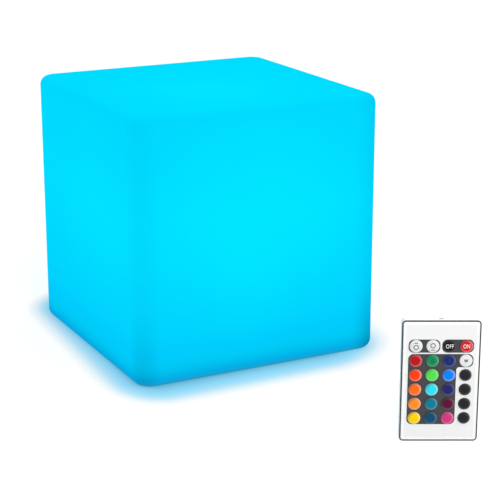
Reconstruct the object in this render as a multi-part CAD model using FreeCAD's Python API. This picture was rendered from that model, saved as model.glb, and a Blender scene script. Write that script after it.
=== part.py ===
import FreeCAD, Part
import math
import os

# A glowing cube lamp and the flat remote control that works it.
# Millimetres, +Z up. The origin is the centre of the cube's footprint on the surface that it stands on.
# The cube's front face looks along -Y. The remote stands on its bottom end in front of the cube.

Vector = FreeCAD.Vector
along_x, along_y, along_z = Vector(1, 0, 0), Vector(0, 1, 0), Vector(0, 0, 1)

# Shell: rotation-moulded polyethylene in one piece, open only at the round seat for the base
cube_size = 200.0
upright_edge_radius, level_edge_radius = 14.0, 7.0
shell_wall = 3.5
seat_radius = 58.0            # pocket in the underside that the base lies in
seat_height = 8.0             # roof of that pocket, which the gasket seals on
opening_radius = 48.0         # hole that the electronics go in through
seat_lip_radius = 1.2

# Base: gasket, round plate and six machine screws into brass inserts
gasket_thickness = 1.5
plate_thickness = 4.5
plate_edge_gap = 0.5
screw_circle = 53.0
screw_count = 6
screw_radius = 1.5
screw_length = 10.0
screw_head_radius = 2.8
screw_head_height = 2.0
counterbore_radius = 3.3
counterbore_depth = 2.4
insert_radius = 2.3
insert_length = 6.0
boss_radius = 4.6
plate_top = seat_height - gasket_thickness
plate_bottom = plate_top - plate_thickness

# Electronics housing: a cup upside down over the base plate, with the LED board on its roof
housing_radius = 44.0
housing_wall = 2.0
deck_bottom = 41.0            # the tops of the posts, which the roof rests on
deck_thickness = 2.0
deck_top = deck_bottom + deck_thickness
post_circle = 36.0
post_count = 4
post_radius = 3.5
post_hole_depth = 14.0
clearance_hole_radius = 1.7
rib_height = 3.0
seal_groove_depth = 1.0
seal_outer_radius, seal_inner_radius = 43.1, 41.5
board_thickness = 1.6
led_board_radius = 40.0
led_size = 5.0
led_height = 1.6
led_rings = ((28.0, 8), (14.0, 4))      # radius and count of each ring of LEDs
led_cover_wall = 2.2
led_cover_skirt = 4.0
led_cover_crown = 25.0                  # height of the dome's top above the housing's roof

# Battery: one round lithium cell lying along X in an open holder
cell_radius = 9.2
cell_length = 65.0
cell_axis_height = plate_top + 1.5 + cell_radius
holder_wall = 1.5
contact_gap = 2.0                       # room for a leaf contact at each end of the cell
contact_sheet = 0.4

# Control board, which faces down: the switch, the charging jack and the lamp look out through the plate
control_board_bottom = 19.0
control_board_x, control_board_y = 21.0, (13.0, 34.0)
standoff_radius = 2.2
wire_radius = 0.65

button_x, button_y = 10.0, 24.0
button_radius = 6.0
button_face = 1.4                       # height of the cap's face above the surface that the cube stands on
button_travel = 1.2
button_gap = 0.05                       # its flange hangs this far above the plate
dish_radius, dish_depth = 9.0, 0.6      # hollow for a fingertip round the cap

jack_x, jack_y = -9.0, 24.0
jack_body = 9.0
jack_collar_radius = 4.0
jack_bore_radius = 2.85                 # takes a 5.5 mm barrel plug
jack_pin_radius = 1.0
port_pocket_depth = 1.8
cover_radius = 6.3
cover_thickness = 1.4
cover_hinge_reach = 11.0                # from the jack's axis to the cover's hinge pin
cover_hinge_height = plate_bottom + 1.2
cover_pin_radius, cover_pin_clearance = 0.7, 0.06

indicator_x, indicator_y = 0.5, 31.5
indicator_radius = 1.4

# Remote control, in its own frame: X to the right, Z up from its bottom end, Y into it from its face
remote_width, remote_height, remote_depth = 52.0, 85.0, 7.5
remote_corner_radius = 2.7
remote_rim = 0.85                       # dark frame seen round the white front
remote_rim_front, remote_rim_depth = 0.3, 0.6
remote_back_wall = 0.75
remote_case_gap = 0.1
front_wall = 1.0
front_skirt_depth = 2.4
front_border = 2.0                      # white frame between the rim and the label
label_thickness = 0.15
key_columns, key_rows = 4, 6
key_pitch_x, key_pitch_z = 11.05, 10.13
first_row_drop = 17.6                   # from the top end to the middle of the first row
colour_key_radius, mode_key_radius = 4.25, 4.0
key_clearance = 0.15
key_stand = 1.0                         # a key stands this far out of the face
key_flange, key_flange_gap, key_flange_thickness = 0.4, 0.05, 0.6
key_travel = 0.8
panel_reach_x, panel_reach_z = 4.9, 4.6   # dark print round the middles of the outermost keys
panel_radius = 3.6
mat_front = front_wall + key_flange_gap + key_flange_thickness + key_travel + 0.15
mat_thickness = 0.25
remote_board_thickness = 0.6
remote_board_front = mat_front + mat_thickness
remote_board_back = remote_board_front + remote_board_thickness
tray_front, tray_thickness = 3.8, 2.85
tray_half_width = 12.6
tray_length = 26.0
tray_end_block = 2.9
coin_radius, coin_thickness = 10.0, 2.5
coin_centre = 14.5
infrared_led_radius = 1.5
infrared_led_depth = 4.9                # from the face to the LED's axis
infrared_led_length = 5.2

# Where the remote stands: the middle of its face's bottom edge, and its turn about Z
remote_x, remote_y, remote_turn = 42.0, -271.8, -27.2

key_names = (
    ("key_brighter", "key_dimmer", "key_off", "key_on"),
    ("key_red", "key_green", "key_blue", "key_white"),
    ("key_vermilion", "key_light_green", "key_sky_blue", "key_flash"),
    ("key_orange", "key_cyan", "key_indigo", "key_strobe"),
    ("key_amber", "key_teal", "key_maroon", "key_fade"),
    ("key_yellow", "key_deep_teal", "key_pink", "key_smooth"),
)
mode_keys = ("key_flash", "key_strobe", "key_fade", "key_smooth")


def box(x, y, z):
    # a block between two x, two y and two z values
    return Part.makeBox(x[1] - x[0], y[1] - y[0], z[1] - z[0], Vector(x[0], y[0], z[0]))


def disc(radius, bottom, top, x=0.0, y=0.0):
    return Part.makeCylinder(radius, top - bottom, Vector(x, y, bottom))


def ring(outer, inner, bottom, top, x=0.0, y=0.0):
    return disc(outer, bottom, top, x, y).cut(disc(inner, bottom, top, x, y))


def around(radius, count, first_angle=0.0):
    # centres of a circle of equal places
    angles = [math.radians(first_angle + 360.0 * i / count) for i in range(count)]
    return [(radius * math.cos(a), radius * math.sin(a)) for a in angles]


def fuse(first, *others):
    return first.fuse(list(others)).removeSplitter()


def cut(shape, *tools):
    return shape.cut(list(tools))


def fillet(shape, radius, wanted):
    return shape.makeFillet(radius, [e for e in shape.Edges if wanted(e)])


def circle_at(radius, height):
    # picks the round edges of one radius at one height
    def wanted(edge):
        if edge.Degenerated or not isinstance(edge.Curve, Part.Circle):
            return False
        return abs(edge.Curve.Radius - radius) < 1e-4 and abs(edge.Curve.Center.z - height) < 1e-4
    return wanted


def machine_screw(x, y, seat, length, head_up):
    # a pan head on its seat, with a cross in the head and the shank pointing away from it
    head = disc(screw_head_radius, 0.0, screw_head_height)
    head = fillet(head, 0.7, circle_at(screw_head_radius, screw_head_height))
    bar, depth = screw_head_radius * 0.62, screw_head_height * 0.6
    cross = [box((-bar, bar), (-0.35, 0.35), (screw_head_height - depth, screw_head_height)),
             box((-0.35, 0.35), (-bar, bar), (screw_head_height - depth, screw_head_height))]
    shank = fillet(disc(screw_radius, -length, 0.0), 0.4, circle_at(screw_radius, -length))
    screw = fuse(cut(head, *cross), shank)
    if not head_up:
        screw.rotate(Vector(0, 0, 0), along_x, 180.0)
    screw.translate(Vector(x, y, seat))
    return screw


# ---- the cube

def rounded_cube(size, bottom, inset):
    # inset is how far it lies inside the outer skin, and its edges are that much tighter
    block = box((-size / 2, size / 2), (-size / 2, size / 2), (bottom, bottom + size))
    block = fillet(block, upright_edge_radius - inset, lambda e: e.BoundBox.ZLength > 1.0)
    return fillet(block, level_edge_radius - inset, lambda e: e.BoundBox.ZLength < 0.01)


base_screw_places = around(screw_circle, screw_count, 30.0)
post_places = around(post_circle, post_count, 45.0)


def diffuser_shell():
    outside = rounded_cube(cube_size, 0.0, 0.0)
    inside = rounded_cube(cube_size - 2 * shell_wall, shell_wall, shell_wall)
    seat = disc(seat_radius + shell_wall, 0.0, seat_height + shell_wall)
    bosses = [disc(boss_radius, seat_height, seat_height + insert_length + shell_wall, x, y)
              for x, y in base_screw_places]
    shell = fuse(outside.cut(inside), seat, *bosses)
    sockets = [disc(insert_radius, seat_height, seat_height + insert_length, x, y)
               for x, y in base_screw_places]
    shell = cut(shell, disc(seat_radius, 0.0, seat_height), *sockets)
    shell = cut(shell, disc(opening_radius, 0.0, seat_height + shell_wall))
    return fillet(shell, seat_lip_radius, circle_at(seat_radius, 0.0))


def shell_inserts():
    inserts = []
    for x, y in base_screw_places:
        insert = ring(insert_radius, screw_radius, seat_height, seat_height + insert_length, x, y)
        groove = seat_height + insert_length / 2
        inserts.append(insert.cut(ring(insert_radius, insert_radius - 0.3, groove - 0.5, groove + 0.5, x, y)))
    return Part.makeCompound(inserts)


def base_gasket():
    holes = [disc(clearance_hole_radius, plate_top, seat_height, x, y) for x, y in base_screw_places]
    return cut(ring(seat_radius - 1.0, opening_radius + 0.5, plate_top, seat_height), *holes)


def base_screws():
    seat = plate_bottom + counterbore_depth
    return Part.makeCompound([machine_screw(x, y, seat, screw_length - 1.0, False)
                              for x, y in base_screw_places])


def port_pocket():
    # the hollow in the plate's underside that the charging port's cover closes into
    hinge_x = jack_x - cover_hinge_reach
    roof = plate_bottom + port_pocket_depth
    pocket = fuse(disc(cover_radius + 0.3, plate_bottom, roof, jack_x, jack_y),
                  box((hinge_x, jack_x), (jack_y - 2.6, jack_y + 2.6), (plate_bottom, roof)),
                  box((jack_x, jack_x + 9.5), (jack_y - 2.4, jack_y + 2.4), (plate_bottom, roof)))
    knuckle_room = box((hinge_x - 1.4, hinge_x + 1.4), (jack_y - 2.6, jack_y + 2.6),
                       (plate_bottom, cover_hinge_height + 1.3))
    return fuse(pocket, knuckle_room)


def hinge_rod(radius, half_length):
    hinge_x = jack_x - cover_hinge_reach
    end = Vector(hinge_x, jack_y - half_length, cover_hinge_height)
    return Part.makeCylinder(radius, 2 * half_length, end, along_y)


def base_plate():
    radius = seat_radius - plate_edge_gap
    plate = disc(radius, plate_bottom, plate_top)
    plate = plate.makeChamfer(0.8, [e for e in plate.Edges if circle_at(radius, plate_bottom)(e)])
    rib = ring(housing_radius - housing_wall - 0.3, housing_radius - housing_wall - 1.7,
               plate_top, plate_top + rib_height)
    posts = [disc(post_radius, plate_top, deck_bottom, x, y) for x, y in post_places]
    stand = control_board_x - 2.5
    standoffs = [disc(standoff_radius, plate_top, control_board_bottom, x, y)
                 for x in (-stand, stand) for y in (control_board_y[0] + 2.5, control_board_y[1] - 4.0)]
    plate = fuse(plate, rib, *posts, *standoffs)
    post_holes = [disc(screw_radius, deck_bottom - post_hole_depth, deck_bottom, x, y)
                  for x, y in post_places]
    counterbores = [disc(counterbore_radius, plate_bottom, plate_bottom + counterbore_depth, x, y)
                    for x, y in base_screw_places]
    screw_holes = [disc(clearance_hole_radius, plate_bottom, plate_top, x, y) for x, y in base_screw_places]
    plate = cut(plate, *post_holes, *counterbores, *screw_holes)
    plate = cut(plate, ring(46.0, 45.0, plate_bottom, plate_bottom + 0.4))
    dish = disc(dish_radius, plate_bottom, plate_bottom + dish_depth, button_x, button_y)
    button_hole = disc(button_radius + 0.15, plate_bottom, plate_top, button_x, button_y)
    jack_hole = disc(jack_collar_radius + 0.1, plate_bottom, plate_top, jack_x, jack_y)
    indicator_hole = disc(indicator_radius + 0.1, plate_bottom, plate_top, indicator_x, indicator_y)
    plate = cut(plate, dish, button_hole, jack_hole, indicator_hole, port_pocket())
    return plate.cut(hinge_rod(cover_pin_radius + cover_pin_clearance, 5.3))


def electronics_housing():
    cup = disc(housing_radius, plate_top, deck_top).cut(
        disc(housing_radius - housing_wall, plate_top, deck_bottom))
    cup = fillet(cup, 0.8, circle_at(housing_radius, deck_top))
    holes = [disc(clearance_hole_radius, deck_bottom, deck_top, x, y) for x, y in post_places]
    groove = ring(seal_outer_radius, seal_inner_radius, deck_top - seal_groove_depth, deck_top)
    return cut(cup, *holes, groove, wire_slot(deck_bottom, deck_top))


def wire_slot(bottom, top):
    slot_x = (6.3, 13.7)
    return box(slot_x, (30.0, 32.2), (bottom, top))


def led_board():
    board = disc(led_board_radius, deck_top, deck_top + board_thickness)
    holes = [disc(clearance_hole_radius, deck_top, deck_top + board_thickness, x, y) for x, y in post_places]
    return cut(board, *holes, wire_slot(deck_top, deck_top + board_thickness))


def housing_screws():
    seat = deck_top + board_thickness
    length = seat - deck_bottom + post_hole_depth - 1.0
    return Part.makeCompound([machine_screw(x, y, seat, length, True) for x, y in post_places])


def led_packages():
    bottom = deck_top + board_thickness
    top, half = bottom + led_height, led_size / 2
    leds = []
    for radius, count in led_rings:
        first = 180.0 / count
        for i, (x, y) in enumerate(around(radius, count, first)):
            led = box((-half, half), (-half, half), (bottom, top)).cut(disc(led_size * 0.42, top - 0.3, top))
            led.rotate(Vector(0, 0, 0), along_z, first + 360.0 * i / count)
            led.translate(Vector(x, y, 0))
            leds.append(led)
    return Part.makeCompound(leds)


def infrared_receiver():
    bottom = deck_top + board_thickness
    block = fillet(box((-3.0, 3.0), (-2.5, 2.0), (bottom, bottom + 7.0)), 0.5,
                   lambda e: abs(e.tangentAt(e.FirstParameter).z) > 0.9)
    lens = Part.makeSphere(2.2, Vector(0, -2.0, bottom + 4.0))
    return fuse(block, lens)


def dome(radius, bottom, crown, sphere_radius, sphere_centre):
    # an upright cylinder whose top is cut off by a sphere
    ball = Part.makeSphere(sphere_radius, Vector(0, 0, sphere_centre))
    return disc(radius, bottom, crown).common(ball)


def led_cover():
    skirt_top = deck_top + led_cover_skirt
    crown = deck_top + led_cover_crown
    outer = housing_radius - 0.3
    centre = (crown ** 2 - outer ** 2 - skirt_top ** 2) / (2 * (crown - skirt_top))
    sphere_radius = crown - centre
    outside = dome(outer, deck_top, crown, sphere_radius, centre)
    inside = dome(outer - led_cover_wall, deck_top, crown, sphere_radius - led_cover_wall, centre)
    return outside.cut(inside)


def led_cover_seal():
    return ring(seal_outer_radius, seal_inner_radius, deck_top - seal_groove_depth, deck_top)


def battery_holder():
    end = cell_length / 2 + contact_gap
    side = cell_radius + 0.1
    floor = cell_axis_height - cell_radius
    holder = box((-end - holder_wall, end + holder_wall), (-side - holder_wall, side + holder_wall),
                 (plate_top, cell_axis_height + 4.0))
    trough = box((-end, end), (-side, side), (floor, cell_axis_height + 4.0))
    finger_gap = box((-9.0, 9.0), (-side - holder_wall, side + holder_wall),
                     (cell_axis_height - 3.0, cell_axis_height + 4.0))
    return cut(holder, trough, finger_gap)


def battery_cell():
    half = cell_length / 2
    can = Part.makeCylinder(cell_radius, cell_length - 0.8, Vector(-half, 0, cell_axis_height), along_x)
    rims = [e for e in can.Edges if isinstance(e.Curve, Part.Circle)]
    can = can.makeFillet(0.8, rims)
    button_end = Part.makeCylinder(3.0, 0.8, Vector(half - 0.8, 0, cell_axis_height), along_x)
    return fuse(can, button_end)


def battery_contacts():
    # a leaf at each end of the cell, with a dimple that presses on it and a tab over the holder's end wall
    half = cell_length / 2
    leaves = []
    for side in (-1, 1):
        inner, outer = half + contact_gap - contact_sheet, half + contact_gap
        wall = outer + holder_wall
        top = cell_axis_height + 4.0
        leaf = box((inner, outer), (-4.5, 4.5), (cell_axis_height - 4.5, top + contact_sheet))
        dimple = Part.makeCone(2.0, 3.2, inner - half, Vector(half, 0, cell_axis_height), along_x)
        tab = box((outer, wall), (2.0, 4.5), (top, top + contact_sheet))
        post = box((wall - 1.6, wall), (2.0, 9.0), (top, top + contact_sheet))
        contact = fuse(leaf, dimple, tab, post)
        if side < 0:
            contact = contact.mirror(Vector(0, 0, 0), along_x)
        leaves.append(contact)
    return Part.makeCompound(leaves)


def control_board():
    return box((-control_board_x, control_board_x), control_board_y,
               (control_board_bottom, control_board_bottom + board_thickness))


battery_plug_y = 17.0
led_plug_x, led_plug_y, led_plug_height = 10.0, 31.0, 6.0


def control_board_components():
    top = control_board_bottom + board_thickness
    battery_plugs = [box(x, (battery_plug_y - 2.0, battery_plug_y + 2.0), (top, top + 3.6))
                     for x in ((-20.5, -17.0), (17.0, 20.5))]
    led_plug = box((led_plug_x - 4.5, led_plug_x + 4.5), (led_plug_y - 2.5, led_plug_y + 2.5),
                   (top, top + led_plug_height))
    controller = box((-5.0, 3.0), (15.5, 20.5), (top, top + 1.6))
    driver = box((-4.0, 1.0), (23.5, 27.5), (top, top + 1.5))
    coil = box((-12.5, -6.5), (22.0, 28.0), (top, top + 3.0))
    capacitor = disc(3.0, top, top + 7.0, -15.5, 23.5)
    lamp = box((indicator_x - 0.8, indicator_x + 0.8), (indicator_y - 0.6, indicator_y + 0.6),
               (control_board_bottom - 0.8, control_board_bottom))
    return Part.makeCompound([*battery_plugs, led_plug, controller, driver, coil, capacitor, lamp])


def power_switch():
    plunger_room = button_face + 9.5 + button_travel + 0.1
    return box((button_x - 4.0, button_x + 4.0), (button_y - 4.0, button_y + 4.0),
               (plunger_room, control_board_bottom))


def power_button():
    flange_bottom = plate_top + button_gap
    cap = disc(button_radius, button_face, flange_bottom, button_x, button_y)
    cap = fillet(cap, 0.8, circle_at(button_radius, button_face))
    flange = disc(button_radius + 1.4, flange_bottom, flange_bottom + 1.0, button_x, button_y)
    stem = disc(2.0, flange_bottom + 1.0, button_face + 9.5, button_x, button_y)
    button = fuse(cap, flange, stem)
    # the usual mark for power: an open ring and an upright bar
    mark_top = button_face + 0.3
    mark = ring(2.9, 2.3, button_face, mark_top, button_x, button_y)
    gap = box((button_x - 1.0, button_x + 1.0), (button_y, button_y + 4.0), (button_face, mark_top))
    bar = box((button_x - 0.3, button_x + 0.3), (button_y + 0.4, button_y + 3.2), (button_face, mark_top))
    return cut(button, mark.cut(gap), bar)


def charging_jack():
    mouth = plate_bottom + port_pocket_depth
    half = jack_body / 2
    body = box((jack_x - half, jack_x + half), (jack_y - half, jack_y + half),
               (plate_top, control_board_bottom))
    collar = disc(jack_collar_radius, mouth, plate_top, jack_x, jack_y)
    bore_end = mouth + 9.5
    jack = fuse(body, collar).cut(disc(jack_bore_radius, mouth, bore_end, jack_x, jack_y))
    pin = disc(jack_pin_radius, mouth + 1.0, bore_end, jack_x, jack_y)
    return fuse(jack, fillet(pin, 0.4, circle_at(jack_pin_radius, mouth + 1.0)))


def charging_port_cover():
    hinge_x = jack_x - cover_hinge_reach
    low = plate_bottom + 0.2
    top = low + cover_thickness
    lid = disc(cover_radius, low, top, jack_x, jack_y)
    strap = box((hinge_x, jack_x), (jack_y - 2.2, jack_y + 2.2), (low, top))
    tab = box((jack_x, jack_x + 8.6), (jack_y - 2.0, jack_y + 2.0), (low, top))
    lip = ring(jack_bore_radius - 0.35, jack_pin_radius + 0.35, top, top + 0.8, jack_x, jack_y)
    knuckle = hinge_rod(1.0, 2.2)
    return fuse(lid, strap, tab, lip, knuckle, hinge_rod(cover_pin_radius, 5.0))


def charge_indicator():
    # a light pipe from the lamp on the control board to the plate's underside
    pipe = disc(indicator_radius, plate_bottom + 0.1, control_board_bottom - 1.0, indicator_x, indicator_y)
    collar = disc(indicator_radius + 0.8, plate_top, plate_top + 0.8, indicator_x, indicator_y)
    return fuse(pipe, collar)


def bent_wire(points, bend_radius, radius=wire_radius):
    # a round wire along straight runs joined by tangent arcs
    edges = []
    start = Vector(*points[0])
    for before, corner, after in zip(points, points[1:], points[2:]):
        before, corner, after = Vector(*before), Vector(*corner), Vector(*after)
        way_in = (corner - before).normalize()
        way_out = (after - corner).normalize()
        half_turn = way_in.getAngle(way_out) / 2
        reach = bend_radius * math.tan(half_turn)
        bisector = (way_out - way_in).normalize()
        arc_start, arc_end = corner - way_in * reach, corner + way_out * reach
        middle = corner + bisector * (bend_radius / math.cos(half_turn) - bend_radius)
        edges.append(Part.LineSegment(start, arc_start).toShape())
        edges.append(Part.Arc(arc_start, middle, arc_end).toShape())
        start = arc_end
    edges.append(Part.LineSegment(start, Vector(*points[-1])).toShape())
    first, second = Vector(*points[0]), Vector(*points[1])
    section = Part.Wire([Part.makeCircle(radius, first, second - first)])
    return Part.Wire(edges).makePipeShell([section], True, False)


def battery_leads():
    height = cell_axis_height + 4.0 + contact_sheet + wire_radius
    tab_x = cell_length / 2 + contact_gap + holder_wall - 0.8
    leads = []
    for side in (-1, 1):
        route = [(side * tab_x, 5.5, height), (side * tab_x, battery_plug_y, height),
                 (side * 20.5, battery_plug_y, height)]
        leads.append(bent_wire(route, 4.0))
    return Part.makeCompound(leads)


def led_leads():
    # four flat-lying wires, up from the control board through the slot and outwards on to the LED board
    start = control_board_bottom + board_thickness + led_plug_height
    end = deck_top + board_thickness + wire_radius
    wires = []
    for i in range(4):
        x = led_plug_x + (i - 1.5) * 1.7
        route = [(x, led_plug_y, start), (x, led_plug_y, end), (x, led_plug_y + 5.5, end)]
        wires.append(bent_wire(route, 1.0))
    return Part.makeCompound(wires)


# ---- the remote control

def slab(half_width, z, y, radius):
    # a rounded rectangle in the plane of the face, between two depths
    block = box((-half_width, half_width), y, z)
    return fillet(block, radius, lambda e: abs(e.tangentAt(e.FirstParameter).y) > 0.9)


def rod(radius, x, z, y):
    # a round bar square to the face
    return Part.makeCylinder(radius, y[1] - y[0], Vector(x, y[0], z), along_y)


def remote_keys():
    # name, x, z and radius of each key
    keys = []
    for row, names in enumerate(key_names):
        for column, name in enumerate(names):
            x = (column - (key_columns - 1) / 2) * key_pitch_x
            z = remote_height - first_row_drop - row * key_pitch_z
            keys.append((name, x, z, mode_key_radius if name in mode_keys else colour_key_radius))
    return keys


def key_holes(y):
    return [rod(radius + key_clearance, x, z, y) for name, x, z, radius in remote_keys()]


def remote_inside(y):
    # the room inside the wall that the rim and the back case share
    half, z = remote_width / 2 - remote_rim, (remote_rim, remote_height - remote_rim)
    return slab(half, z, y, remote_corner_radius - remote_rim)


def remote_rim_frame():
    y = (remote_rim_front, remote_rim_front + remote_rim_depth)
    frame = slab(remote_width / 2, (0.0, remote_height), y, remote_corner_radius)
    frame = fillet(frame, 0.2, lambda e: e.BoundBox.YMax < y[0] + 0.01)
    return frame.cut(remote_inside(y))


def remote_back_case():
    front = remote_rim_front + remote_rim_depth
    back = remote_depth - remote_back_wall
    case = slab(remote_width / 2, (0.0, remote_height), (front, remote_depth), remote_corner_radius)
    case = fillet(case, 0.7, lambda e: e.BoundBox.YMin > remote_depth - 0.01)
    case = case.cut(remote_inside((front, back)))
    board_ribs = [box(x, (remote_board_back, back), (34.0, 76.0)) for x in ((-22.0, -21.0), (21.0, 22.0))]
    rail = tray_half_width + 0.4
    tray_rails = [box(x, (remote_board_back, back), (remote_rim, tray_length + 3.0))
                  for x in ((-rail - 1.0, -rail), (rail, rail + 1.0))]
    tray_stop = box((-rail, rail), (remote_board_back + 0.6, back), (tray_length + 1.0, tray_length + 2.0))
    case = fuse(case, *board_ribs, *tray_rails, tray_stop)
    tray_mouth = box((-rail, rail), (tray_front - 0.2, remote_depth), (0.0, tray_end_block + 0.2))
    led_hole = Part.makeCylinder(infrared_led_radius + 0.1, 3.0,
                                 Vector(0, infrared_led_depth, remote_height - 2.0))
    return cut(case, tray_mouth, led_hole)


def remote_front_case():
    half = remote_width / 2 - remote_rim - remote_case_gap
    z = (remote_rim + remote_case_gap, remote_height - remote_rim - remote_case_gap)
    radius = remote_corner_radius - remote_rim
    case = slab(half, z, (0.0, front_skirt_depth), radius)
    case = fillet(case, 0.4, lambda e: e.BoundBox.YMax < 0.01)
    inside = slab(half - 1.0, (z[0] + 1.0, z[1] - 1.0), (front_wall, front_skirt_depth), radius - 0.5)
    recess = label_outline((0.0, label_thickness))
    return cut(case, inside, recess, *key_holes((0.0, front_wall)))


def label_outline(y):
    margin = remote_rim + remote_case_gap + front_border
    return slab(remote_width / 2 - margin, (margin, remote_height - margin), y, 1.5)


def dark_panels():
    # printed grounds: a pill behind each pair of keys in the top row, a step-shaped one behind the colours
    y = (0.0, label_thickness)
    across, up = panel_reach_x, panel_reach_z
    columns = [(i - (key_columns - 1) / 2) * key_pitch_x for i in range(key_columns)]
    rows = [remote_height - first_row_drop - i * key_pitch_z for i in range(key_rows)]
    pills = []
    for left, right in ((columns[0], columns[1]), (columns[2], columns[3])):
        middle, half = (left + right) / 2, (right - left) / 2 + across
        pill = slab(half, (rows[0] - up, rows[0] + up), y, panel_radius)
        pill.translate(Vector(middle, 0, 0))
        pills.append(pill)
    top_row = slab(columns[3] + across, (rows[1] - up, rows[1] + up), y, panel_radius)
    half = (columns[2] - columns[0]) / 2 + across
    colours = slab(half, (rows[-1] - up, rows[1] + up), y, panel_radius)
    colours.translate(Vector((columns[2] + columns[0]) / 2, 0, 0))
    inner_corner = (columns[2] + across, rows[1] - up)
    corner_block = box((inner_corner[0], inner_corner[0] + 2.0), y, (inner_corner[1] - 2.0, inner_corner[1]))
    corner_round = rod(2.0, inner_corner[0] + 2.0, inner_corner[1] - 2.0, y)
    ground = fuse(top_row, colours, corner_block.cut(corner_round))
    return [cut(panel, *key_holes(y)) for panel in (*pills, ground)]


def remote_face_label():
    y = (0.0, label_thickness)
    return cut(label_outline(y), *key_holes(y), *dark_panels())


def remote_label_panels():
    return Part.makeCompound(dark_panels())


def remote_key(x, z, radius):
    # revolved about its own axis: a crowned cap, a flange behind the face, and a hollow for the mat's dome
    flange_front = front_wall + key_flange_gap
    flange_back = flange_front + key_flange_thickness
    hollow, hollow_front = radius - 1.4, 0.2
    crown, shoulder, round_over = -key_stand, -key_stand + 0.25, 0.35
    top = Part.Arc(Vector(0, crown, 0), Vector((radius - round_over) / 2, crown + 0.06, 0),
                   Vector(radius - round_over, shoulder, 0)).toShape()
    edge = Part.Arc(Vector(radius - round_over, shoulder, 0), Vector(radius - 0.1, shoulder + 0.12, 0),
                    Vector(radius, shoulder + round_over, 0)).toShape()
    corners = [(radius, shoulder + round_over), (radius, flange_front), (radius + key_flange, flange_front),
               (radius + key_flange, flange_back), (hollow, flange_back), (hollow, hollow_front),
               (0, hollow_front), (0, crown)]
    sides = [Part.LineSegment(Vector(*a, 0), Vector(*b, 0)).toShape() for a, b in zip(corners, corners[1:])]
    face = Part.Face(Part.Wire([top, edge, *sides]))
    key = face.revolve(Vector(0, 0, 0), along_y, 360.0)
    key.translate(Vector(x, 0, z))
    return key


def remote_keypad_mat():
    back = mat_front + mat_thickness
    half = remote_width / 2 - remote_rim - 1.5
    mat = slab(half, (remote_rim + 2.5, remote_height - remote_rim - 2.5), (mat_front, back), 1.0)
    domes = [Part.makeCone(2.6, 1.8, 1.2, Vector(x, mat_front, z), Vector(0, -1, 0))
             for name, x, z, radius in remote_keys()]
    return fuse(mat, *domes)


def remote_circuit_board():
    y = (remote_board_front, remote_board_back)
    half = remote_width / 2 - remote_rim - 1.5
    board = slab(half, (remote_rim + 2.2, remote_height - remote_rim - 2.2), y, 1.0)
    led_notch = box((-2.2, 2.2), y, (remote_height - infrared_led_length - 1.0, remote_height))
    return board.cut(led_notch)


def remote_controller():
    block = box((-4.5, 4.5), (remote_board_back, remote_board_back + 1.2), (45.0, 54.0))
    return fillet(block, 0.8, lambda e: abs(e.tangentAt(e.FirstParameter).y) > 0.9)


def remote_infrared_led():
    depth, tip = infrared_led_depth, remote_height - 0.3
    bottom = tip - infrared_led_length
    lens_middle = tip - infrared_led_radius
    body = Part.makeCylinder(infrared_led_radius, lens_middle - bottom, Vector(0, depth, bottom))
    lens = Part.makeSphere(infrared_led_radius, Vector(0, depth, lens_middle))
    flange = Part.makeCylinder(infrared_led_radius + 0.25, 0.8, Vector(0, depth, bottom))
    legs = [fuse(box((x - 0.25, x + 0.25), (depth - 0.25, depth + 0.25), (bottom - 3.0, bottom)),
                 box((x - 0.25, x + 0.25), (remote_board_back, depth + 0.25), (bottom - 3.0, bottom - 2.5)))
            for x in (-0.9, 0.9)]
    return fuse(body, lens, flange, *legs)


def remote_battery_tray():
    back = tray_front + tray_thickness
    coin_back = tray_front + coin_thickness + 0.05
    tray = box((-tray_half_width, tray_half_width), (tray_front, back), (0.0, tray_length))
    grip = box((-tray_half_width, tray_half_width), (tray_front, remote_depth), (0.0, tray_end_block))
    tray = fuse(tray, grip)
    tray = fillet(tray, 1.5, lambda e: abs(e.tangentAt(e.FirstParameter).y) > 0.9 and e.BoundBox.ZMin > 20.0)
    pocket = rod(coin_radius + 0.15, 0.0, coin_centre, (tray_front, coin_back))
    push_hole = rod(4.0, 0.0, coin_centre, (coin_back, back))
    grooves = [box((x - 0.35, x + 0.35), (remote_depth - 0.4, remote_depth), (0.0, tray_end_block))
               for x in (-6.0, -4.0, -2.0, 0.0, 2.0, 4.0, 6.0)]
    return cut(tray, pocket, push_hole, *grooves)


def remote_coin_cell():
    coin = rod(coin_radius, 0.0, coin_centre, (tray_front + 0.05, tray_front + 0.05 + coin_thickness))
    return fillet(coin, 0.3, lambda e: isinstance(e.Curve, Part.Circle))


def remote_battery_contacts():
    # two flat springs soldered to the back of the board, in front of the tray
    y = (remote_board_back, tray_front - 0.1)
    return Part.makeCompound([box((-1.5, 1.5), y, (9.0, 31.0)), box((6.5, 8.5), y, (12.0, 31.0))])


def in_place(shape):
    # from the remote's own frame to where it stands
    placed = shape.copy()
    placed.rotate(Vector(0, 0, 0), along_z, remote_turn)
    placed.translate(Vector(remote_x, remote_y, 0))
    return placed


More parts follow.
